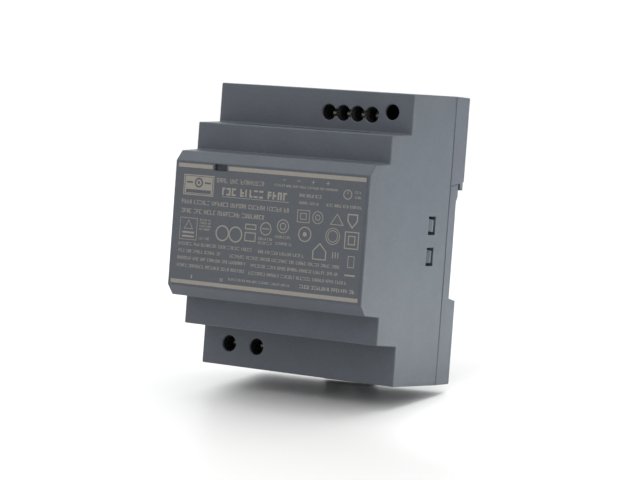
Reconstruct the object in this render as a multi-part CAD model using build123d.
from build123d import *
import math
import os

# Stepped DIN rail power supply.
# Frame: X is the width, +Z is up and -Y is the front. The origin is the centre of the rail seat,
# the plane that a 35 mm top-hat rail rests against. All sizes are in millimetres.

# ---- housing ----
WIDTH = 70.0
HEIGHT = 90.0
RAIL_TO_FRONT = 54.5
FOOT_DEPTH = 3.7
SEAM_DEPTH = 5.4
TIER1_DEPTH = 31.9
TIER2_DEPTH = 43.5
TIER2_HALF = 31.4
BLOCK_HALF = 22.3
CHAMFER_DEPTH = 2.85
CHAMFER_RISE = 3.05
WALL = 1.8
EDGE_RADIUS = 0.4
SIDE_DRAFT = 0.0085
END_DRAFT = 0.028
LEDGE_DRAFT = 0.055
FIT_GAP = 0.15
SEAM_GROOVE_WIDTH = 0.45
SEAM_GROOVE_DEPTH = 0.8

# ---- rail ----
RAIL_HEIGHT = 35.0
RAIL_GAP = 1.6
HOOK_OVERLAP = 1.5
HOOK_THICKNESS = 1.8
HOOK_WIDTH = 21.8
HOOK_OFFSET = 23.8
CHANNEL_RELIEF = 0.8
CHANNEL_PLAY = 0.4
CHANNEL_FLARE = 0.22
LEAD_IN_RISE = 1.5
LEAD_IN_START = 5.0
PAD_CLEARANCE = 0.1
PAD_RELIEF = 0.15
PARTING_LINE_WIDTH = 0.2
PARTING_LINE_DEPTH = 0.4
PARTING_LINE_STOP = 0.3

# ---- latch ----
LATCH_WIDTH = 18.0
LATCH_TRAVEL = 3.5
LATCH_FLANGE = 1.4
LATCH_FLANGE_THICKNESS = 1.1
LATCH_FLANGE_START = 2.5
LATCH_FLANGE_END = 20.5
LATCH_TAB = 3.1
LATCH_BED = 1.3
LATCH_RECESS = 0.2
LATCH_GAP = 0.1
LATCH_NOSE_BEVEL = 0.9
SHELF_RISE = 6.2
SHELF_THICKNESS = 1.2
SPRING_RADIUS = 1.6
SPRING_WIRE = 0.22
SPRING_LENGTH = 14.0
SPRING_TURNS = 8

# ---- snap arms ----
SNAP_OFFSET = 4.8
SNAP_WIDTH = 3.8
SNAP_ARM = 1.2
SNAP_WINDOW_HEIGHT = 5.7
SNAP_WINDOW_DEPTH = 4.3
SNAP_CENTRE_DEPTH = 15.2
SNAP_PLAY = 0.8
SNAP_LAND = 0.9
SNAP_CATCH_RADIUS = 0.25
SNAP_CATCH_RECESS = 0.25
SNAP_RELIEF = 0.5

# ---- board ----
BOARD_THICKNESS = 1.6
BOARD_BACK_DEPTH = 6.0
BOARD_MARGIN = 0.6
SHEET_THICKNESS = 0.4
POST_RADIUS = 1.2
POST_INSET = 4.0
POST_GAP = 0.15
POST_SHOULDER = 0.8

# ---- terminals ----
TERMINAL_INSET = 7.75
INPUT_CENTRE = -20.02
INPUT_PITCH = 10.16
INPUT_POLES = 2
INPUT_HOLE_RADIUS = 2.5
OUTPUT_CENTRE = 12.74
OUTPUT_PITCH = 5.08
OUTPUT_POLES = 4
OUTPUT_HOLE_RADIUS = 2.4
HOLE_SLOT_HEIGHT = 2.2
HOLE_RIM = 0.25
HOLE_SKIN = 0.7
HOLE_RELIEF = 0.4
BLOCK_END_GAP = 0.3
BLOCK_LENGTH = 10.1
HEAD_RECESS = 5.2
HEAD_HEIGHT = 1.8
SEAT_WEB = 1.0
SCREW_GAP = 0.1
THREAD_GAP = 0.05
CLAMP_TURNS = 5
CAGE_TOP = 1.6
CAGE_BOTTOM = 1.0
CAGE_HEIGHT = 9.0
CAGE_LENGTH = 5.4
CAGE_GAP = 0.1
BAR_THICKNESS = 0.8
BAR_CLEARANCE = 6.0
WIRE_OPENING = 4.7
POCKET_END_WALL = 1.0

# ---- trimmer ----
TRIMMER_OFFSET = 6.99
TRIMMER_INSET = 6.55
TRIMMER_HOLE_RADIUS = 2.38
TRIMMER_BODY = 6.8
TRIMMER_BODY_HEIGHT = 9.4
TRIMMER_SHAFT_RADIUS = 1.5
TRIMMER_HEAD_RADIUS = 1.9
TRIMMER_HEAD_HEIGHT = 1.2

# ---- indicator and label ----
LED_X = -17.95
LED_Z = 17.9
WINDOW_WIDTH = 4.5
WINDOW_HEIGHT = 2.0
PIPE_RECESS = 0.8
LABEL_THICKNESS = 0.12
LABEL_MARGIN = 0.9

# ---- vents ----
VENT_WIDTH = 1.6
VENT_PITCH = 4.0
VENT_LENGTH = 7.0
VENT_COUNT = 12

# ---- heatsinks ----
SINK_THICKNESS = 2.0
SINK_HEIGHT = 36.0
PAD_THICKNESS = 0.3
TAB_SCREW_RADIUS = 1.5

# ---- worked out ----
half_w = WIDTH / 2
half_h = HEIGHT / 2
front_y = -RAIL_TO_FRONT
seam_y = -SEAM_DEPTH
tier1_y = -TIER1_DEPTH
tier2_y = -TIER2_DEPTH
tier1_inner_y = tier1_y + WALL
board_back_y = -BOARD_BACK_DEPTH
board_y = board_back_y - BOARD_THICKNESS
floor_y = -CHANNEL_RELIEF - WALL
rail_half = RAIL_HEIGHT / 2
terminal_z = half_h - TERMINAL_INSET
trimmer_z = half_h - TRIMMER_INSET
board_half_w = half_w - WALL - BOARD_MARGIN
board_half_h = half_h - WALL - BOARD_MARGIN
end_face_z = half_h - (TIER1_DEPTH - SEAM_DEPTH) * END_DRAFT - WALL - BLOCK_END_GAP
head_y = tier1_y + HEAD_RECESS
seat_y = head_y + HEAD_HEIGHT
pocket_front_y = seat_y + SEAT_WEB


# ---- shape helpers ----
def block(x, y, z):
    """Box between two corners, given as (low, high) pairs."""
    size = [high - low for low, high in (x, y, z)]
    centre = [(high + low) / 2 for low, high in (x, y, z)]
    return Pos(*centre) * Box(*size)


def rod_x(radius, x, y, z):
    """Cylinder along X between x[0] and x[1]."""
    return Pos((x[0] + x[1]) / 2, y, z) * Rot(0, 90, 0) * Cylinder(radius, x[1] - x[0])


def rod_y(radius, x, y, z):
    """Cylinder along Y between y[0] and y[1]."""
    return Pos(x, (y[0] + y[1]) / 2, z) * Rot(90, 0, 0) * Cylinder(radius, y[1] - y[0])


def rod_z(radius, x, y, z):
    """Cylinder along Z between z[0] and z[1]."""
    return Pos(x, y, (z[0] + z[1]) / 2) * Cylinder(radius, z[1] - z[0])


def prism_x(points, half_length):
    """Outline in Y and Z, extruded both ways along X."""
    return extrude(Plane.YZ * Polygon(*points, align=None), amount=half_length, both=True)


def prism_z(points, z):
    """Outline in X and Y, extruded from z[0] to z[1]."""
    return Pos(0, 0, z[0]) * extrude(Polygon(*points, align=None), amount=z[1] - z[0], dir=(0, 0, 1))


def both_sides(shape):
    """The shape and its mirror image across the middle plane X = 0."""
    return shape + mirror(shape, Plane.YZ)


def group(shapes):
    return Compound(children=list(shapes))


def pole_positions(centre, pitch, count):
    return [centre + (i - (count - 1) / 2) * pitch for i in range(count)]


input_x = pole_positions(INPUT_CENTRE, INPUT_PITCH, INPUT_POLES)
output_x = pole_positions(OUTPUT_CENTRE, OUTPUT_PITCH, OUTPUT_POLES)
trimmer_x = output_x[-1] + TRIMMER_OFFSET


def end_half(y):
    """Half height of the drafted outer top and bottom faces at depth y."""
    return half_h - (seam_y - y) * END_DRAFT


def side_half(y):
    """Half width of the drafted outer side faces at depth y."""
    return half_w - (seam_y - y) * SIDE_DRAFT


# ---- front cover ----
def cover_form(inset, back_y):
    """Stepped form of the cover, drawn in by inset, from the front face to back_y."""
    tier1 = tier1_y + inset
    tier2 = tier2_y + inset
    face = front_y + inset
    bevel = math.atan2(CHAMFER_DEPTH, CHAMFER_RISE)
    face_half = BLOCK_HALF - CHAMFER_RISE - inset * math.tan(bevel / 2)
    bevel_back = front_y + CHAMFER_DEPTH + inset * math.tan(math.pi / 4 - bevel / 2)
    upper = [
        (back_y, end_half(back_y) - inset),
        (tier1, end_half(tier1) - inset),
        (tier1, TIER2_HALF + (tier1 - tier2_y) * LEDGE_DRAFT - inset),
        (tier2, TIER2_HALF + (tier2 - tier2_y) * LEDGE_DRAFT - inset),
        (tier2, BLOCK_HALF + (tier2 - tier2_y + RAIL_TO_FRONT - TIER2_DEPTH) * LEDGE_DRAFT - inset),
        (bevel_back, BLOCK_HALF - inset),
        (face, face_half),
    ]
    lower = [(y, -z) for y, z in reversed(upper)]
    sides = [
        (side_half(back_y) - inset, back_y),
        (side_half(face) - inset, face),
        (inset - side_half(face), face),
        (inset - side_half(back_y), back_y),
    ]
    return prism_x(upper + lower, WIDTH) & prism_z(sides, (-HEIGHT, HEIGHT))


def wire_openings(poles, width, side):
    """Wire entries through the top (side 1) or bottom (side -1) wall, one for each pole."""
    z = sorted((side * (end_face_z - 1), side * (half_h + 1)))
    y = (wire_y[0] - FIT_GAP, wire_y[1] + FIT_GAP)
    return [block((x - width / 2, x + width / 2), y, z) for x in poles]


def vent_slots():
    """Slots through the two ledges behind the second tier's front face."""
    y_mid = (tier1_y + tier2_y) / 2
    y = (y_mid - VENT_LENGTH / 2, y_mid + VENT_LENGTH / 2)
    first = -(VENT_COUNT - 1) / 2 * VENT_PITCH
    slots = []
    for i in range(VENT_COUNT):
        x = first + i * VENT_PITCH
        for side in (1, -1):
            z = sorted((side * (TIER2_HALF - 2 * WALL), side * (TIER2_HALF + 2)))
            slots.append(block((x - VENT_WIDTH / 2, x + VENT_WIDTH / 2), y, z))
    return slots


def access_holes(grow, y):
    """Screwdriver holes over the screws and the trimmer, made wider by grow, along y."""
    holes = [rod_y(INPUT_HOLE_RADIUS + grow, x, y, -terminal_z) for x in input_x]
    holes += [rod_y(OUTPUT_HOLE_RADIUS + grow, x, y, terminal_z) for x in output_x]
    slot_half = HOLE_SLOT_HEIGHT / 2 + grow
    holes.append(block((output_x[0], output_x[-1]), y, (terminal_z - slot_half, terminal_z + slot_half)))
    holes.append(rod_y(TRIMMER_HOLE_RADIUS + grow, trimmer_x, y, trimmer_z))
    return holes


def is_hole_rim(edge):
    """Whether an edge lies on the front of the first tier, round an access hole."""
    middle = edge.center()
    on_face = abs(middle.Y - tier1_y) < 0.01
    in_row = abs(abs(middle.Z) - terminal_z) < 2 * OUTPUT_HOLE_RADIUS
    return on_face and in_row and abs(middle.X) < half_w - 2 * WALL and edge.length < half_w


def make_front_cover():
    outer = cover_form(0, seam_y)
    edges = outer.edges().filter_by(lambda e: e.center().Y < seam_y - 0.1)
    outer = fillet(edges, EDGE_RADIUS)
    cover = outer - cover_form(WALL, seam_y + 10)
    for hole in access_holes(0, (tier1_y - 1, tier1_inner_y + 1)):
        cover -= hole
    for relief in access_holes(HOLE_RELIEF, (tier1_y + HOLE_SKIN, tier1_inner_y + 1)):
        cover -= relief
    cover = chamfer(cover.edges().filter_by(is_hole_rim), HOLE_RIM)
    window_x = (LED_X - WINDOW_WIDTH / 2, LED_X + WINDOW_WIDTH / 2)
    window_z = (LED_Z - WINDOW_HEIGHT / 2, LED_Z + WINDOW_HEIGHT / 2)
    cover -= block(window_x, (front_y - 1, front_y + WALL + 1), window_z)
    snap_y = (-SNAP_CENTRE_DEPTH - SNAP_WINDOW_DEPTH / 2, -SNAP_CENTRE_DEPTH + SNAP_WINDOW_DEPTH / 2)
    for side in (-1, 1):
        middle = side * SNAP_OFFSET
        window = (middle - SNAP_WINDOW_HEIGHT / 2, middle + SNAP_WINDOW_HEIGHT / 2)
        cover -= block((-half_w - 1, half_w + 1), snap_y, window)
        relief_y = (snap_y[0] - SNAP_RELIEF, snap_y[1] + SNAP_RELIEF)
        relief_z = (window[0] - SNAP_RELIEF, window[1] + SNAP_RELIEF)
        cover -= both_sides(block((half_w - WALL - 1, half_w - HOLE_SKIN), relief_y, relief_z))
    for opening in wire_openings(input_x, input_kit["opening"] + FIT_GAP, -1):
        cover -= opening
    for opening in wire_openings(output_x, output_kit["opening"], 1):
        cover -= opening
    for slot in vent_slots():
        cover -= slot
    return cover


def make_label():
    label_x = side_half(front_y) - LABEL_MARGIN
    label_z = BLOCK_HALF - CHAMFER_RISE - LABEL_MARGIN / 2
    y = (front_y - LABEL_THICKNESS, front_y)
    label = block((-label_x, label_x), y, (-label_z, label_z))
    label = fillet(label.edges().filter_by(Axis.Y), 0.8)
    margin = 0.25
    window_x = (LED_X - WINDOW_WIDTH / 2 - margin, LED_X + WINDOW_WIDTH / 2 + margin)
    window_z = (LED_Z - WINDOW_HEIGHT / 2 - margin, LED_Z + WINDOW_HEIGHT / 2 + margin)
    return label - block(window_x, (front_y - 1, front_y + 1), window_z)


# ---- rear base ----
def channel():
    """Rail channel across the back: relief, seat pad that ends short of the hooks, and flared walls."""
    open_y = FOOT_DEPTH + 1
    wall_z = rail_half + CHANNEL_PLAY
    pad_top = rail_half - HOOK_OVERLAP - PAD_CLEARANCE
    points = [
        (open_y, -wall_z - open_y * CHANNEL_FLARE),
        (-CHANNEL_RELIEF, -wall_z),
        (-CHANNEL_RELIEF, rail_half - LEAD_IN_START),
        (0, rail_half - LEAD_IN_START + LEAD_IN_RISE),
        (0, pad_top),
        (-PAD_RELIEF, pad_top),
        (-PAD_RELIEF, wall_z),
        (open_y, wall_z + open_y * CHANNEL_FLARE),
    ]
    return prism_x(points, WIDTH)


def parting_lines():
    """Fine mould lines on both side faces, from the seam almost to the channel's upper wall."""
    start = seam_y
    end = -PARTING_LINE_STOP
    low = rail_half + CHANNEL_PLAY + start * CHANNEL_FLARE
    high = rail_half + CHANNEL_PLAY + end * CHANNEL_FLARE
    points = [(start, low), (end, high), (end, high + PARTING_LINE_WIDTH), (start, low + PARTING_LINE_WIDTH)]
    inside = half_w - PARTING_LINE_DEPTH
    return prism_x(points, WIDTH) - block((-inside, inside), (seam_y - 1, 1), (0, half_h))


def snap_arm(side_z):
    """One arm on the +X side, with its ramped catch."""
    outer_x = half_w - WALL - FIT_GAP - 0.05
    z = (side_z * SNAP_OFFSET - SNAP_WIDTH / 2, side_z * SNAP_OFFSET + SNAP_WIDTH / 2)
    window_back = -SNAP_CENTRE_DEPTH + SNAP_WINDOW_DEPTH / 2
    catch_back = window_back - SNAP_PLAY
    catch_front = -SNAP_CENTRE_DEPTH - SNAP_WINDOW_DEPTH / 2 + 0.05
    catch_x = half_w - SNAP_CATCH_RECESS
    arm = block((outer_x - SNAP_ARM, outer_x), (catch_front - 1.2, floor_y + 0.5), z)
    catch = prism_z(
        [
            (outer_x - 0.2, catch_front),
            (outer_x, catch_front),
            (catch_x, catch_back - SNAP_LAND),
            (catch_x, catch_back),
            (outer_x - 0.2, catch_back),
        ],
        z,
    )
    proud = catch.edges().filter_by(lambda e: e.center().X > outer_x + 0.5 * (catch_x - outer_x))
    return arm + fillet(proud, SNAP_CATCH_RADIUS)


def latch_pocket():
    """Guide for the latch in the lower foot: plate slot, flange grooves and spring chamber."""
    top = -rail_half + 0.5
    plate_x = LATCH_WIDTH / 2 + LATCH_GAP
    flange_x = plate_x + LATCH_FLANGE
    bed_y = latch_y[0] - LATCH_GAP
    flange_back = latch_y[0] + LATCH_FLANGE_THICKNESS + LATCH_GAP
    pocket = block((-plate_x, plate_x), (bed_y, FOOT_DEPTH + 1), (-half_h - 1, top))
    groove_low = flange_z[0] - LATCH_TRAVEL - 0.05
    pocket += block((-flange_x, flange_x), (bed_y, flange_back), (groove_low, top))
    chamber = SPRING_RADIUS + 3 * SPRING_WIRE
    return pocket + block((-chamber, chamber), (spring_y - chamber, bed_y + 1), (shelf_z, spring_top_z))


latch_y = (LATCH_BED, FOOT_DEPTH - LATCH_RECESS)
spring_y = latch_y[0] + 0.2
flange_z = (-rail_half - LATCH_FLANGE_END, -rail_half - LATCH_FLANGE_START)
shelf_z = SHELF_RISE - half_h
spring_top_z = shelf_z + SPRING_LENGTH


def make_rear_base():
    body = block((-half_w, half_w), (seam_y, FOOT_DEPTH), (-half_h, half_h))
    edges = body.edges().filter_by(lambda e: e.center().Y > seam_y + 0.1)
    body = fillet(edges, EDGE_RADIUS)
    groove_y = (seam_y - 1, seam_y + SEAM_GROOVE_WIDTH)
    groove_x = half_w - SEAM_GROOVE_DEPTH
    rebate_z = half_h - SEAM_GROOVE_DEPTH
    body -= block((-WIDTH, WIDTH), groove_y, (-HEIGHT, HEIGHT)) - block(
        (-groove_x, groove_x), (seam_y - 2, 0), (-rebate_z, rebate_z)
    )
    inner_x = half_w - WALL
    inner_z = half_h - WALL
    body -= block((-inner_x, inner_x), (seam_y - 1, floor_y), (-inner_z, inner_z))
    core_y = (floor_y - 1, FOOT_DEPTH - WALL)
    core_low = rail_half + CHANNEL_PLAY + WALL + 1
    latch_side = LATCH_WIDTH / 2 + LATCH_FLANGE + 2 * WALL
    for core_x in ((-inner_x, -latch_side), (latch_side, inner_x)):
        body -= block(core_x, core_y, (-inner_z, -core_low))
    for core_x in ((-inner_x, -WALL / 2), (WALL / 2, inner_x)):
        body -= block(core_x, core_y, (core_low, inner_z))
    body -= channel()
    body -= parting_lines()
    hook_y = (RAIL_GAP, RAIL_GAP + HOOK_THICKNESS)
    hook_z = (rail_half - HOOK_OVERLAP, rail_half + CHANNEL_PLAY + 1)
    for x in (-HOOK_OFFSET, HOOK_OFFSET):
        body += block((x - HOOK_WIDTH / 2, x + HOOK_WIDTH / 2), hook_y, hook_z)
    body -= latch_pocket()
    shelf_x = SPRING_RADIUS + 3 * SPRING_WIRE
    shelf_y = (spring_y - shelf_x - 0.5, latch_y[1])
    body += block((-shelf_x, shelf_x), shelf_y, (shelf_z - SHELF_THICKNESS, shelf_z))
    for side_z in (-1, 1):
        body += both_sides(snap_arm(side_z))
    for x, z in board_posts():
        shoulder = rod_y(POST_RADIUS + POST_SHOULDER, x, (sheet_y[1], FOOT_DEPTH - WALL / 2), z)
        pin = rod_y(POST_RADIUS, x, (board_y + 0.1, floor_y), z)
        body += shoulder + pin
    return body


def board_posts():
    x = board_half_w - POST_INSET
    z = board_half_h - POST_INSET
    return [(sx * x, sz * z) for sx in (-1, 1) for sz in (-1, 1)]


sheet_y = (board_back_y, board_back_y + SHEET_THICKNESS)


# ---- latch ----
def make_rail_latch():
    low = -half_h - LATCH_TAB
    nose_z = -rail_half + HOOK_OVERLAP
    plate_x = LATCH_WIDTH / 2
    outline = [
        (latch_y[0], low),
        (latch_y[1], low),
        (latch_y[1], nose_z - 2),
        (RAIL_GAP + LATCH_NOSE_BEVEL, nose_z),
        (RAIL_GAP, nose_z),
        (RAIL_GAP, -rail_half - 0.6),
        (latch_y[0], -rail_half - 1.0),
    ]
    latch = prism_x(outline, plate_x)
    flange_y = (latch_y[0], latch_y[0] + LATCH_FLANGE_THICKNESS)
    latch += block((-plate_x - LATCH_FLANGE, plate_x + LATCH_FLANGE), flange_y, flange_z)
    window_x = SPRING_RADIUS + 3 * SPRING_WIRE + LATCH_GAP
    window_z = (shelf_z - SHELF_THICKNESS - 0.05, spring_top_z)
    latch -= block((-window_x, window_x), (latch_y[0] - 1, latch_y[1] + 1), window_z)
    slot_x = 3.0
    slot_z = (low + 1.2, low + 3.0)
    return latch - block((-slot_x, slot_x), (latch_y[0] - 1, latch_y[1] + 1), slot_z)


def make_latch_spring():
    pitch = (SPRING_LENGTH - 2.4 * SPRING_WIRE) / SPRING_TURNS
    path = Helix(pitch=pitch, height=pitch * SPRING_TURNS, radius=SPRING_RADIUS)
    section = Plane(origin=path @ 0, z_dir=path % 0) * Circle(SPRING_WIRE)
    coil = sweep(section, path=path)
    return Pos(0, spring_y, shelf_z + 1.2 * SPRING_WIRE) * coil


# ---- board ----
def make_main_board():
    y = (board_y, board_back_y)
    board = block((-board_half_w, board_half_w), y, (-board_half_h, board_half_h))
    notch_x = half_w - WALL - FIT_GAP - SNAP_ARM - 0.4
    notch_z = SNAP_OFFSET + SNAP_WIDTH / 2 + 0.8
    board -= both_sides(block((notch_x, half_w), (board_y - 1, 0), (-notch_z, notch_z)))
    for x, z in board_posts():
        board -= rod_y(POST_RADIUS + POST_GAP, x, (board_y - 1, 0), z)
    return board


def make_insulation_sheet():
    sheet = block((-board_half_w, board_half_w), sheet_y, (-board_half_h, board_half_h))
    notch_x = half_w - WALL - FIT_GAP - SNAP_ARM - 0.4
    notch_z = SNAP_OFFSET + SNAP_WIDTH / 2 + 0.8
    sheet -= both_sides(block((notch_x, half_w), (board_y, 0), (-notch_z, notch_z)))
    for x, z in board_posts():
        sheet -= rod_y(POST_RADIUS + POST_GAP, x, (board_y, 0), z)
    return sheet


# ---- terminals ----
# Each kit holds the sizes that differ between the wide input poles and the narrow output poles.
input_kit = {
    "cage": 5.4,
    "side": 0.8,
    "screw": 1.5,
    "head": 2.2,
    "thread": 0.5,
    "opening": 4.8,
    "margin": 5.8,
}
output_kit = {
    "cage": 4.2,
    "side": 0.55,
    "screw": 1.25,
    "head": 2.0,
    "thread": 0.45,
    "opening": 4.4,
    "margin": 2.95,
}


def clamp_travel(kit):
    return CLAMP_TURNS * kit["thread"]


def cage_front(kit):
    """Front of the cage when the clamp is fully open."""
    return pocket_front_y + 0.2 + clamp_travel(kit)


bar_y = (pocket_front_y + BAR_CLEARANCE, pocket_front_y + BAR_CLEARANCE + BAR_THICKNESS)
wire_y = (bar_y[1] - 0.2, bar_y[1] - 0.2 + WIRE_OPENING)


def make_terminal_housing(poles, kit, side):
    """Moulded block with a screw well, a cage pocket and a wire entry for each pole."""
    back_z = end_face_z - BLOCK_LENGTH
    x = (poles[0] - kit["margin"], poles[-1] + kit["margin"])
    z = sorted((side * back_z, side * end_face_z))
    front = tier1_inner_y + BLOCK_END_GAP
    housing = block(x, (front, board_y), z)
    pocket_x = kit["cage"] / 2 + CAGE_GAP
    pocket_z = sorted((side * (back_z + 0.7), side * (end_face_z - POCKET_END_WALL)))
    pocket_back = cage_front(kit) + CAGE_HEIGHT + 0.3
    leg_z = bar_leg_z(side)
    for pole in poles:
        well = rod_y(kit["head"] + SCREW_GAP, pole, (front - 1, seat_y), side * terminal_z)
        hole = rod_y(kit["screw"] + SCREW_GAP, pole, (seat_y - 1, pocket_front_y + 1), side * terminal_z)
        span = (pole - pocket_x, pole + pocket_x)
        pocket = block(span, (pocket_front_y, pocket_back), pocket_z)
        mouth_x = (pole - kit["opening"] / 2, pole + kit["opening"] / 2)
        mouth = block(mouth_x, wire_y, sorted((side * (end_face_z - 2), side * (end_face_z + 1))))
        leg_x = (pole - bar_half(kit) - 0.05, pole + bar_half(kit) + 0.05)
        leg = block(leg_x, (pocket_back - 1, board_y + 1), (leg_z[0] - 0.05, leg_z[1] + 0.05))
        housing -= well + hole + pocket + mouth + leg
    return housing


def bar_half(kit):
    return kit["cage"] / 2 - kit["side"] - 0.2


def bar_leg_z(side):
    inner = end_face_z - BLOCK_LENGTH + 0.85
    return sorted((side * inner, side * (inner + BAR_THICKNESS)))


def make_current_bars(poles, kit, side):
    """L-shaped bars: a flat under the screw tip and a leg down to the board."""
    leg_z = bar_leg_z(side)
    tip_z = side * (terminal_z + CAGE_LENGTH / 2 - 0.5)
    bars = []
    for pole in poles:
        x = (pole - bar_half(kit), pole + bar_half(kit))
        z = (min(leg_z[0], tip_z), max(leg_z[1], tip_z))
        flat = block(x, bar_y, z)
        leg = block(x, (bar_y[0], board_y), leg_z)
        bars.append(flat + leg)
    return group(bars)


def make_clamp_screw(pole, kit, side):
    """Cross-recessed screw that turns in the housing without moving along its axis."""
    z = side * terminal_z
    tip_y = bar_y[0] - 0.15
    head = rod_y(kit["head"], pole, (head_y, seat_y), z)
    head = chamfer(head.edges().filter_by(GeomType.CIRCLE).sort_by(Axis.Y)[0], 0.35)
    screw = head + rod_y(kit["screw"], pole, (seat_y, tip_y), z)
    recess_y = (head_y - 1, head_y + 0.9)
    arm = kit["head"] * 0.72
    blade = 0.35
    screw -= block((pole - arm, pole + arm), recess_y, (z - blade, z + blade))
    return screw - block((pole - blade, pole + blade), recess_y, (z - arm, z + arm))


def make_clamp_cage(pole, kit, side):
    """Rectangular loop that the screw draws up to grip the wire against the bar."""
    y0 = cage_front(kit)
    y1 = y0 + CAGE_HEIGHT
    half = kit["cage"] / 2
    z_mid = side * terminal_z
    z = (z_mid - CAGE_LENGTH / 2, z_mid + CAGE_LENGTH / 2)
    cage = block((pole - half, pole + half), (y0, y1), z)
    cage = fillet(cage.edges().filter_by(Axis.Z), 0.5)
    inner = half - kit["side"]
    cage -= block((pole - inner, pole + inner), (y0 + CAGE_TOP, y1 - CAGE_BOTTOM), (z[0] - 1, z[1] + 1))
    return cage - rod_y(kit["screw"] + THREAD_GAP, pole, (y0 - 1, y0 + CAGE_TOP + 0.5), z_mid)


# ---- trimmer ----
trimmer_top_y = board_y - TRIMMER_BODY_HEIGHT


def make_trimmer_body():
    half = TRIMMER_BODY / 2
    x = (trimmer_x - half, trimmer_x + half)
    body = block(x, (trimmer_top_y, board_y), (trimmer_z - half, trimmer_z + half))
    body = chamfer(body.edges().filter_by(Axis.Y), 0.8)
    bore = TRIMMER_SHAFT_RADIUS + THREAD_GAP
    return body - rod_y(bore, trimmer_x, (trimmer_top_y - 1, board_y - 2), trimmer_z)


def make_trimmer_rotor():
    """Shaft in the body's bore with a slotted head, reached through the hole in the cover."""
    head_back = trimmer_top_y - 0.1
    head_front = head_back - TRIMMER_HEAD_HEIGHT
    shaft = rod_y(TRIMMER_SHAFT_RADIUS, trimmer_x, (head_back - 0.2, board_y - 2.1), trimmer_z)
    rotor = shaft + rod_y(TRIMMER_HEAD_RADIUS, trimmer_x, (head_front, head_back), trimmer_z)
    blade = 0.35
    arm = TRIMMER_HEAD_RADIUS * 0.75
    recess_y = (head_front - 1, head_front + 0.7)
    rotor -= block((trimmer_x - arm, trimmer_x + arm), recess_y, (trimmer_z - blade, trimmer_z + blade))
    pointer_z = (trimmer_z, trimmer_z + TRIMMER_HEAD_RADIUS + 1)
    return rotor - block((trimmer_x - blade, trimmer_x + blade), recess_y, pointer_z)


# ---- indicator ----
LED_HEIGHT = 1.9


def make_status_led():
    base = block((LED_X - 1.75, LED_X + 1.75), (board_y - 1.4, board_y), (LED_Z - 1.4, LED_Z + 1.4))
    return base + rod_y(1.1, LED_X, (board_y - LED_HEIGHT, board_y - 1.4), LED_Z)


def make_light_pipe():
    """Clear bar from just above the LED to its window in the front face."""
    end_x = WINDOW_WIDTH / 2 - 0.05
    end_z = WINDOW_HEIGHT / 2 - 0.05
    shaft_x = 1.6
    shaft_z = (LED_Z - end_z, LED_Z + 0.4)
    front = front_y + PIPE_RECESS
    head_back = front_y + WALL
    head = block((LED_X - end_x, LED_X + end_x), (front, head_back), (LED_Z - end_z, LED_Z + end_z))
    collar_x = end_x + 0.6
    collar_y = (head_back, head_back + 1.2)
    collar_z = (LED_Z - end_z - 0.6, LED_Z + 0.4)
    collar = block((LED_X - collar_x, LED_X + collar_x), collar_y, collar_z)
    shaft_y = (head_back + 1.2, board_y - LED_HEIGHT - 0.3)
    shaft = block((LED_X - shaft_x, LED_X + shaft_x), shaft_y, shaft_z)
    return head + collar + shaft


# ---- components on the board ----
# Each function seats its part on the front of the board, at the x and z it is given.
def leads(points, top_y, radius=0.4):
    """Round leads from a component's underside at top_y down to the board."""
    return [rod_y(radius, x, (top_y, board_y), z) for x, z in points]


# Cans: x, z, radius and length.
BULK_CAN = (-20.0, -8.4, 10.9, 40.0)
AUXILIARY_CAN = (22.6, -13.6, 2.5, 11.0)
OUTPUT_CANS = [(x, z, 5.0, 20.0) for x, z in ((10.0, 15.8), (21.0, 15.8), (10.0, 26.6))]


def can_capacitor(x, z, radius, length):
    """Electrolytic can: rubber end, rolled groove and scored vent."""
    top = board_y - length
    can = rod_y(radius, x, (top, board_y), z)
    can = fillet(can.edges().filter_by(GeomType.CIRCLE).sort_by(Axis.Y)[0], radius * 0.08)
    ring = rod_y(radius + 1, x, (board_y - 3.2, board_y - 2.4), z)
    ring -= rod_y(radius - 0.35, x, (board_y - 4, board_y), z)
    score = block((x - radius * 0.6, x + radius * 0.6), (top - 1, top + 0.2), (z - 0.2, z + 0.2))
    cross = block((x - 0.2, x + 0.2), (top - 1, top + 0.2), (z - radius * 0.6, z + radius * 0.6))
    return can - ring - score - cross


DISC_STAND = 3.0
VARISTOR_X = 20.0
VARISTOR_RADIUS = 5.0
VARISTOR_THICKNESS = 4.0
THERMISTOR_X = 27.5
THERMISTOR_RADIUS = 5.4
THERMISTOR_THICKNESS = 4.6
disc_z = THERMISTOR_RADIUS + 0.3 - end_face_z


def disc_part(x, z, radius, thickness, turn=0):
    """Leaded disc standing on edge, its axis turned from X about Y by the angle turn."""
    y = board_y - DISC_STAND - radius
    disc = rod_x(radius, (-thickness / 2, thickness / 2), y, 0)
    disc = fillet(disc.edges().filter_by(GeomType.CIRCLE), thickness * 0.3)
    legs = leads([(0, -radius * 0.5), (0, radius * 0.5)], y)
    return Pos(x, 0, z) * Rot(0, turn, 0) * (disc + legs[0] + legs[1])


FUSE_X = (-6.0, 14.0)
FUSE_STAND = 5.0
FUSE_TUBE_RADIUS = 2.35
FUSE_CAP_RADIUS = 2.6
FUSE_CAP_LENGTH = 5.5
CLIP_LENGTH = 4.0
CLIP_HALF = 3.3
fuse_y = board_y - FUSE_STAND


def make_input_fuse():
    z = -terminal_z
    body = rod_x(FUSE_TUBE_RADIUS, (FUSE_X[0] + 1, FUSE_X[1] - 1), fuse_y, z)
    left = rod_x(FUSE_CAP_RADIUS, (FUSE_X[0], FUSE_X[0] + FUSE_CAP_LENGTH), fuse_y, z)
    right = rod_x(FUSE_CAP_RADIUS, (FUSE_X[1] - FUSE_CAP_LENGTH, FUSE_X[1]), fuse_y, z)
    return body + left + right


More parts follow.
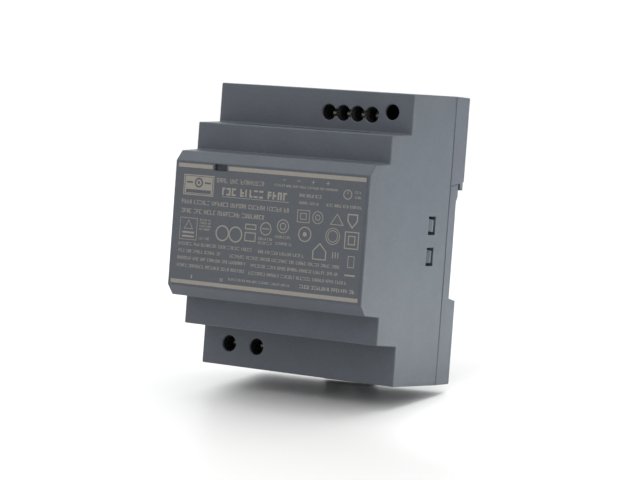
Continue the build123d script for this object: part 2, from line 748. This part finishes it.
def make_fuse_clips():
    """Spring clips with a mouth towards the front and a window above their foot."""
    mouth = CLIP_HALF - 0.9
    mouth_z = (-terminal_z - mouth, -terminal_z + mouth)
    clips = []
    for x in (FUSE_X[0] + 1, FUSE_X[1] - 1 - CLIP_LENGTH):
        through = (x - 1, x + CLIP_LENGTH + 1)
        clip_z = (-terminal_z - CLIP_HALF, -terminal_z + CLIP_HALF)
        clip = block((x, x + CLIP_LENGTH), (fuse_y - 1.5, board_y), clip_z)
        clip -= rod_x(FUSE_CAP_RADIUS + THREAD_GAP, through, fuse_y, -terminal_z)
        clip -= block(through, (fuse_y - 3, fuse_y), mouth_z)
        clip -= block(through, (fuse_y + CLIP_HALF, board_y - 0.6), mouth_z)
        clips.append(clip)
    return group(clips)


X_CASE_X = (-31.0, -13.0)
X_CASE_Z = (-31.0, -23.2)
X_CASE_HEIGHT = 14.5


def make_x_capacitor():
    case = block(X_CASE_X, (board_y - X_CASE_HEIGHT, board_y), X_CASE_Z)
    return fillet(case.edges().filter_by(Axis.Y), 0.6)


CHOKE_X = -1.5
CHOKE_Z = -26.8
CHOKE_OUTER = 8.0
CHOKE_INNER = 4.6
CHOKE_HALF = 2.9
CHOKE_COPPER = 0.8
choke_y = board_y - CHOKE_OUTER - CHOKE_COPPER - 0.6


def ring_z(outer, inner, half, y):
    span = (CHOKE_Z - half, CHOKE_Z + half)
    return rod_z(outer, CHOKE_X, y, span) - rod_z(inner, CHOKE_X, y, (span[0] - 1, span[1] + 1))


def make_choke_core():
    return ring_z(CHOKE_OUTER, CHOKE_INNER, CHOKE_HALF, choke_y)


def make_choke_windings():
    """Two coils, left and right, wrapped round the ring, each with its lead-outs."""
    sleeve = ring_z(CHOKE_OUTER + CHOKE_COPPER, CHOKE_INNER - CHOKE_COPPER, CHOKE_HALF + CHOKE_COPPER, choke_y)
    sleeve -= ring_z(CHOKE_OUTER + 0.05, CHOKE_INNER - 0.05, CHOKE_HALF + 0.05, choke_y)
    gap = 1.6
    span = CHOKE_OUTER + CHOKE_COPPER + 1
    y = (choke_y - span, choke_y + span)
    z = (CHOKE_Z - 10, CHOKE_Z + 10)
    coils = []
    for side in (-1, 1):
        x = sorted((CHOKE_X + side * gap, CHOKE_X + side * span))
        coil = sleeve & block(x, y, z)
        leg_x = CHOKE_X + side * (gap + 1.2)
        leg_z = CHOKE_HALF + CHOKE_COPPER / 2
        for leg in leads([(leg_x, CHOKE_Z - leg_z), (leg_x, CHOKE_Z + leg_z)], board_y - 2.0):
            coil += leg
        coils.append(coil)
    return group(coils)


BRIDGE_X = (11.0, 31.0)
BRIDGE_Z = (-29.0, -25.6)
BRIDGE_STAND = 2.5
BRIDGE_HEIGHT = 16.0
BRIDGE_PIN_PITCH = 5.08
BRIDGE_HOLE_RISE = 14.0


def make_bridge_rectifier():
    top = board_y - BRIDGE_STAND - BRIDGE_HEIGHT
    case = block(BRIDGE_X, (top, board_y - BRIDGE_STAND), BRIDGE_Z)
    case = chamfer(case.edges().filter_by(Axis.Z).sort_by(Axis.X)[0], 1.5)
    middle = sum(BRIDGE_X) / 2
    pin_z = sum(BRIDGE_Z) / 2
    for x in pole_positions(middle, BRIDGE_PIN_PITCH, 4):
        pin_y = (board_y - BRIDGE_STAND - 0.5, board_y)
        case += block((x - 0.6, x + 0.6), pin_y, (pin_z - 0.3, pin_z + 0.3))
    through = (BRIDGE_Z[0] - 1, BRIDGE_Z[1] + 1)
    return case - rod_z(1.6, middle, board_y - BRIDGE_HOLE_RISE, through)


TRANSFORMER_X = 6.5
TRANSFORMER_Z = -5.0
CORE_WIDTH = 27.0
CORE_HEIGHT = 25.0
CORE_DEPTH = 10.0
CORE_YOKE = 4.2
CORE_LEG = 3.9
CENTRE_LEG = 7.4
BOBBIN_WALL = 0.9
BOBBIN_GAP = 0.1
core_y = (board_y - 2.6 - CORE_HEIGHT, board_y - 2.6)
window_y = (core_y[0] + CORE_YOKE, core_y[1] - CORE_YOKE)


def make_transformer_core():
    x = (TRANSFORMER_X - CORE_WIDTH / 2, TRANSFORMER_X + CORE_WIDTH / 2)
    z = (TRANSFORMER_Z - CORE_DEPTH / 2, TRANSFORMER_Z + CORE_DEPTH / 2)
    core = block(x, core_y, z)
    for side in (-1, 1):
        near = TRANSFORMER_X + side * CENTRE_LEG / 2
        far = TRANSFORMER_X + side * (CORE_WIDTH / 2 - CORE_LEG)
        core -= block(sorted((near, far)), window_y, (z[0] - 1, z[1] + 1))
    return core


bobbin_x = CENTRE_LEG / 2 + BOBBIN_GAP + BOBBIN_WALL
bobbin_z = CORE_DEPTH / 2 + BOBBIN_GAP + BOBBIN_WALL
flange_reach = CORE_WIDTH / 2 - CORE_LEG - 0.15


def make_transformer_bobbin():
    """Former round the centre leg, with a pinned foot on the board side."""
    y = (window_y[0] + 0.05, window_y[1] - 0.05)
    tube = block((-bobbin_x, bobbin_x), y, (-bobbin_z, bobbin_z))
    upper = block((-flange_reach, flange_reach), (y[0], y[0] + 1), (-flange_reach - 1.5, flange_reach + 1.5))
    lower = block((-flange_reach, flange_reach), (y[1] - 1, y[1]), (-flange_reach - 1.5, flange_reach + 1.5))
    bobbin = tube + upper + lower
    foot_z = CORE_DEPTH / 2 + 0.2
    for side in (-1, 1):
        z = sorted((side * foot_z, side * (flange_reach + 1.5)))
        bobbin += block((-11.0, 11.0), (y[1] - 0.01, board_y - 1.2), z)
        for i in range(5):
            bobbin += rod_y(0.4, -8.8 + 4.4 * i, (board_y - 1.3, board_y), side * (flange_reach))
    hole_x = CENTRE_LEG / 2 + BOBBIN_GAP
    hole_z = CORE_DEPTH / 2 + BOBBIN_GAP
    bobbin -= block((-hole_x, hole_x), (y[0] - 1, y[1] + 1), (-hole_z, hole_z))
    return Pos(TRANSFORMER_X, 0, TRANSFORMER_Z) * bobbin


def make_transformer_winding():
    y = (window_y[0] + 1.1, window_y[1] - 1.1)
    reach = flange_reach - 0.3
    coil = block((-reach, reach), y, (-reach - 1.2, reach + 1.2))
    coil = fillet(coil.edges().filter_by(Axis.Y), 3.0)
    coil -= block((-bobbin_x, bobbin_x), (y[0] - 1, y[1] + 1), (-bobbin_z, bobbin_z))
    return Pos(TRANSFORMER_X, 0, TRANSFORMER_Z) * coil


# Power devices: body, tab hole and three leads, drawn lying on the plane z = 0 and then placed.
DEVICE_WIDTH = 10.0
DEVICE_THICKNESS = 4.4
DEVICE_TOP = 30.0
DEVICE_HEIGHT = 15.0
DEVICE_PITCH = 2.54
TAB_THICKNESS = 1.3
TAB_HOLE_Y = 27.2


def device(z_sign):
    """TO-220 style device with its tab on the plane z = 0, leads straight to the board."""
    half = DEVICE_WIDTH / 2
    top = board_y - DEVICE_TOP
    plastic_top = top + 6.2
    z_tab = sorted((0, z_sign * TAB_THICKNESS))
    z_body = sorted((0, z_sign * DEVICE_THICKNESS))
    shape = block((-half, half), (top, plastic_top), z_tab)
    shape += block((-half, half), (plastic_top, top + DEVICE_HEIGHT), z_body)
    shape -= rod_z(TAB_SCREW_RADIUS + 0.2, 0, board_y - TAB_HOLE_Y, (-3, 3))
    lead_y = (top + DEVICE_HEIGHT - 0.01, board_y)
    lead_z = sorted((z_sign * 2.4, z_sign * 2.9))
    for x in pole_positions(0, DEVICE_PITCH, 3):
        shape += block((x - 0.4, x + 0.4), lead_y, lead_z)
    return shape


def pad(z_sign):
    half = DEVICE_WIDTH / 2 + 0.8
    top = board_y - DEVICE_TOP - 0.8
    sheet = block((-half, half), (top, top + DEVICE_HEIGHT + 1.6), sorted((0, z_sign * PAD_THICKNESS)))
    return sheet - rod_z(TAB_SCREW_RADIUS + 0.2, 0, board_y - TAB_HOLE_Y, (-3, 3))


def tab_screw(z_sign):
    """Pan-head screw through the tab and the pad into the heatsink."""
    y = board_y - TAB_HOLE_Y
    tab_top = z_sign * (PAD_THICKNESS + TAB_THICKNESS)
    shank = rod_z(TAB_SCREW_RADIUS, 0, y, sorted((-z_sign * SINK_THICKNESS, tab_top)))
    head = rod_z(2.7, 0, y, sorted((tab_top, tab_top + z_sign * 2.0)))
    slot = block((-2.0, 2.0), (y - 0.35, y + 0.35), sorted((tab_top + z_sign * 1.0, tab_top + z_sign * 3.0)))
    return shank + head - slot


SECOND_SINK_Z = 10.5
SECOND_SINK_X = (-30.0, 4.0)
RECTIFIER_X = -7.5
FIRST_SINK_X = 27.0
FIRST_SINK_Z = (-19.0, 8.0)
TRANSISTOR_Z = -4.0
sink_y = (board_y - SINK_HEIGHT, board_y)


def make_secondary_heatsink():
    z = (SECOND_SINK_Z - SINK_THICKNESS, SECOND_SINK_Z)
    sink = block(SECOND_SINK_X, sink_y, z)
    sink += block(SECOND_SINK_X, (sink_y[0], sink_y[0] + SINK_THICKNESS), (z[0] - 5, z[0]))
    return sink - rod_z(TAB_SCREW_RADIUS + 0.02, RECTIFIER_X, board_y - TAB_HOLE_Y, (z[0] - 1, z[1] + 1))


def make_primary_heatsink():
    x = (FIRST_SINK_X, FIRST_SINK_X + SINK_THICKNESS)
    sink = block(x, sink_y, FIRST_SINK_Z)
    sink += block((x[1], x[1] + 3), (sink_y[0], sink_y[0] + SINK_THICKNESS), FIRST_SINK_Z)
    return sink - rod_x(TAB_SCREW_RADIUS + 0.02, (x[0] - 1, x[1] + 1), board_y - TAB_HOLE_Y, TRANSISTOR_Z)


on_second_sink = Pos(RECTIFIER_X, 0, SECOND_SINK_Z)
on_first_sink = Pos(FIRST_SINK_X, 0, TRANSISTOR_Z) * Rot(0, -90, 0)


def make_output_capacitors():
    return group([can_capacitor(*can) for can in OUTPUT_CANS])


INDUCTOR_X = -25.0
INDUCTOR_Z = 25.6
INDUCTOR_HEIGHT = 14.0
INDUCTOR_BASE = 0.8
INDUCTOR_FLANGE = 2.0
INDUCTOR_FLANGE_RADIUS = 6.2
INDUCTOR_CORE_RADIUS = 3.4
INDUCTOR_COIL_RADIUS = 5.6
inductor_y = (board_y - INDUCTOR_BASE - INDUCTOR_HEIGHT, board_y - INDUCTOR_BASE)
coil_y = (inductor_y[0] + INDUCTOR_FLANGE, inductor_y[1] - INDUCTOR_FLANGE)


def inductor_rod(radius, y):
    return rod_y(radius, INDUCTOR_X, y, INDUCTOR_Z)


def make_inductor_core():
    core = inductor_rod(INDUCTOR_CORE_RADIUS, inductor_y)
    core += inductor_rod(INDUCTOR_FLANGE_RADIUS, (inductor_y[0], coil_y[0]))
    return core + inductor_rod(INDUCTOR_FLANGE_RADIUS, (coil_y[1], inductor_y[1]))


def make_inductor_winding():
    coil = inductor_rod(INDUCTOR_COIL_RADIUS, (coil_y[0] + THREAD_GAP, coil_y[1] - THREAD_GAP))
    return coil - inductor_rod(INDUCTOR_CORE_RADIUS + THREAD_GAP, inductor_y)


def make_inductor_base():
    return inductor_rod(INDUCTOR_FLANGE_RADIUS + 0.4, (inductor_y[1], board_y))


Y_DISC_RADIUS = 3.6
Y_DISC_PITCH = 10.0
Y_DISC_Z = 5.5
Y_DISC_THICKNESS = 3.0


def make_y_capacitors():
    """Two discs in a row, the first one just clear of the snap arms."""
    first = WALL + FIT_GAP + SNAP_ARM + 0.4 + Y_DISC_RADIUS - half_w
    places = (first, first + Y_DISC_PITCH)
    return group([disc_part(x, Y_DISC_Z, Y_DISC_RADIUS, Y_DISC_THICKNESS, 90) for x in places])


# Chips: x, z, width, length, height and pins on each side.
CONTROLLER = (21.5, -20.6, 3.9, 5.0, 1.7, 4)
OPTOCOUPLERS = [(x, z, 6.0, 4.4, 3.4, 2) for x, z in ((-10.5, 4.4), (-2.0, 20.0))]


def chip(x, z, width, length, height, pins):
    """Moulded chip body standing on small gull-wing legs along its two long sides."""
    y = (board_y - height, board_y - 0.2)
    shape = block((x - width / 2, x + width / 2), y, (z - length / 2, z + length / 2))
    step = length / pins
    for i in range(pins):
        pin_z = z - length / 2 + step * (i + 0.5)
        for side in (-1, 1):
            pin_x = sorted((x + side * (width / 2 - 0.1), x + side * (width / 2 + 0.9)))
            shape += block(pin_x, (board_y - 0.6, board_y), (pin_z - 0.2, pin_z + 0.2))
    return shape


def make_optocouplers():
    return group([chip(*place) for place in OPTOCOUPLERS])


# ---- build and write ----
os.makedirs("parts", exist_ok=True)

nodes = {
    "front_cover": make_front_cover(),
    "rear_base": make_rear_base(),
    "front_label": make_label(),
    "rail_latch": make_rail_latch(),
    "latch_spring": make_latch_spring(),
    "main_board": make_main_board(),
    "insulation_sheet": make_insulation_sheet(),
    "input_terminal_housing": make_terminal_housing(input_x, input_kit, -1),
    "output_terminal_housing": make_terminal_housing(output_x, output_kit, 1),
    "input_current_bars": make_current_bars(input_x, input_kit, -1),
    "output_current_bars": make_current_bars(output_x, output_kit, 1),
    "trimmer_body": make_trimmer_body(),
    "trimmer_rotor": make_trimmer_rotor(),
    "status_led": make_status_led(),
    "led_light_pipe": make_light_pipe(),
    "input_fuse": make_input_fuse(),
    "fuse_clips": make_fuse_clips(),
    "surge_varistor": disc_part(VARISTOR_X, disc_z, VARISTOR_RADIUS, VARISTOR_THICKNESS),
    "inrush_thermistor": disc_part(THERMISTOR_X, disc_z, THERMISTOR_RADIUS, THERMISTOR_THICKNESS),
    "x_capacitor": make_x_capacitor(),
    "line_choke_core": make_choke_core(),
    "line_choke_windings": make_choke_windings(),
    "bridge_rectifier": make_bridge_rectifier(),
    "bulk_capacitor": can_capacitor(*BULK_CAN),
    "auxiliary_capacitor": can_capacitor(*AUXILIARY_CAN),
    "controller_chip": chip(*CONTROLLER),
    "optocouplers": make_optocouplers(),
    "transformer_core": make_transformer_core(),
    "transformer_bobbin": make_transformer_bobbin(),
    "transformer_winding": make_transformer_winding(),
    "primary_heatsink": make_primary_heatsink(),
    "secondary_heatsink": make_secondary_heatsink(),
    "switching_transistor": on_first_sink * Pos(0, 0, PAD_THICKNESS) * device(1),
    "transistor_pad": on_first_sink * pad(1),
    "transistor_screw": on_first_sink * tab_screw(1),
    "output_rectifier": on_second_sink * Pos(0, 0, PAD_THICKNESS) * device(1),
    "rectifier_pad": on_second_sink * pad(1),
    "rectifier_screw": on_second_sink * tab_screw(1),
    "output_capacitors": make_output_capacitors(),
    "output_inductor_core": make_inductor_core(),
    "output_inductor_winding": make_inductor_winding(),
    "output_inductor_base": make_inductor_base(),
    "y_capacitors": make_y_capacitors(),
}

for name, pole in zip(("line", "neutral"), input_x):
    nodes["input_screw_" + name] = make_clamp_screw(pole, input_kit, -1)
    nodes["input_cage_" + name] = make_clamp_cage(pole, input_kit, -1)

for i, pole in enumerate(output_x):
    nodes["output_screw_" + str(i + 1)] = make_clamp_screw(pole, output_kit, 1)
    nodes["output_cage_" + str(i + 1)] = make_clamp_cage(pole, output_kit, 1)

for name, shape in nodes.items():
    export_step(shape, "parts/" + name + ".step")
